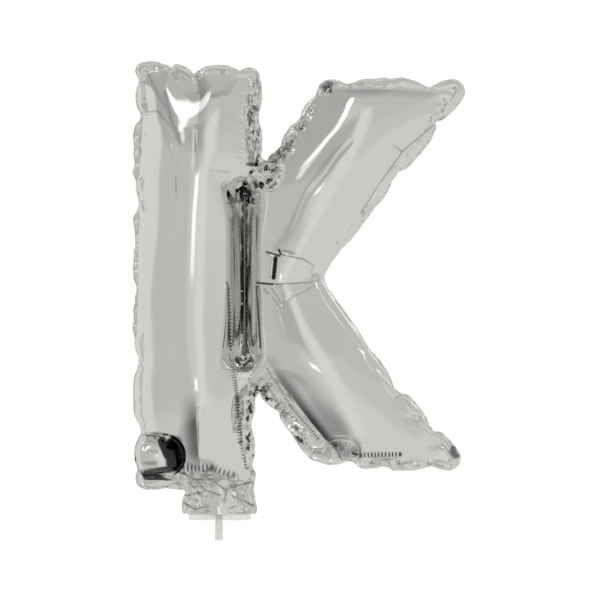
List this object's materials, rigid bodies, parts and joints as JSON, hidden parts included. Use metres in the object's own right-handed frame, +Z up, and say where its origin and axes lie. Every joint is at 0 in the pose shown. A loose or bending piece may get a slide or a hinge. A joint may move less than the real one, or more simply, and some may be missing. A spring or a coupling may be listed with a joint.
{
  "type": "letter foil balloon",
  "caption": "Air-filled foil balloon shaped as a capital letter K, welded from a front and a back foil sheet, with a film valve and a filling straw in its neck.",
  "frame": {"origin": "middle of the neck's mouth, on the straw's axis, where the balloon is filled and held", "axes": "+Z up along the stem towards its top, front of the letter faces -Y, +X to the letter's right as it is read"},
  "size_m": [0.2615, 0.08, 0.3741],
  "materials": {
    "silver_foil": "metallised plastic film, mirror bright",
    "welded_foil": "metallised plastic film, fused and finely wrinkled",
    "clear_film": "clear plastic film, slightly milky",
    "straw_plastic": "translucent pale plastic"
  },
  "bodies": {
    "envelope": {"front_foil": "silver_foil", "back_foil": "silver_foil", "edge_weld": "welded_foil", "stem_weld": "welded_foil", "valve_film_front": "clear_film", "valve_film_back": "clear_film"},
    "straw": {"filling_straw": "straw_plastic"}
  },
  "joints": [
    {"name": "straw_slide", "type": "slide", "parent": "envelope", "child": "straw", "axis": [0, 0, -1], "range_m": [0, 0.08]}
  ]
}
